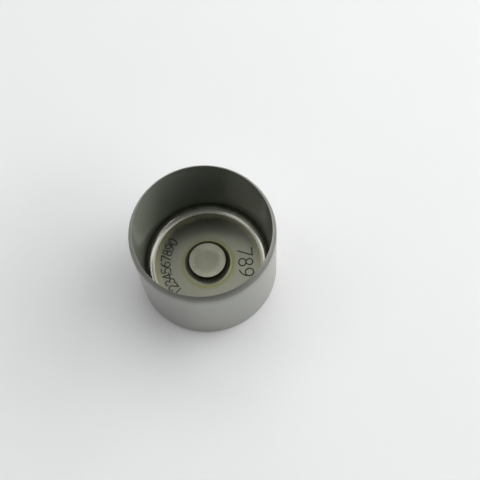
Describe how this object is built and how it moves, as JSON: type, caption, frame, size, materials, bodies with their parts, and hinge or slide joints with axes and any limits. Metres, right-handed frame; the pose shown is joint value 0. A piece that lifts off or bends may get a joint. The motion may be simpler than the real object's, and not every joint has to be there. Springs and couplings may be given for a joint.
{
  "type": "bucket tappet",
  "caption": "One-piece steel bucket tappet: a thin-walled cup with a flat cam face outside and a raised round stem pad on the floor inside.",
  "frame": {"origin": "centre of the cam face, which is the closed end's outer face", "axes": "+Z along the cup's axis, from the cam face towards the open end; X and Y are free, as the part is a solid of revolution"},
  "size_m": [0.028, 0.028, 0.02],
  "materials": {
    "hardened_steel": "ground skirt, lapped cam face and stem pad, heat-treated inside"
  },
  "bodies": {
    "root": {"tappet_bucket": "hardened_steel"}
  },
  "joints": []
}
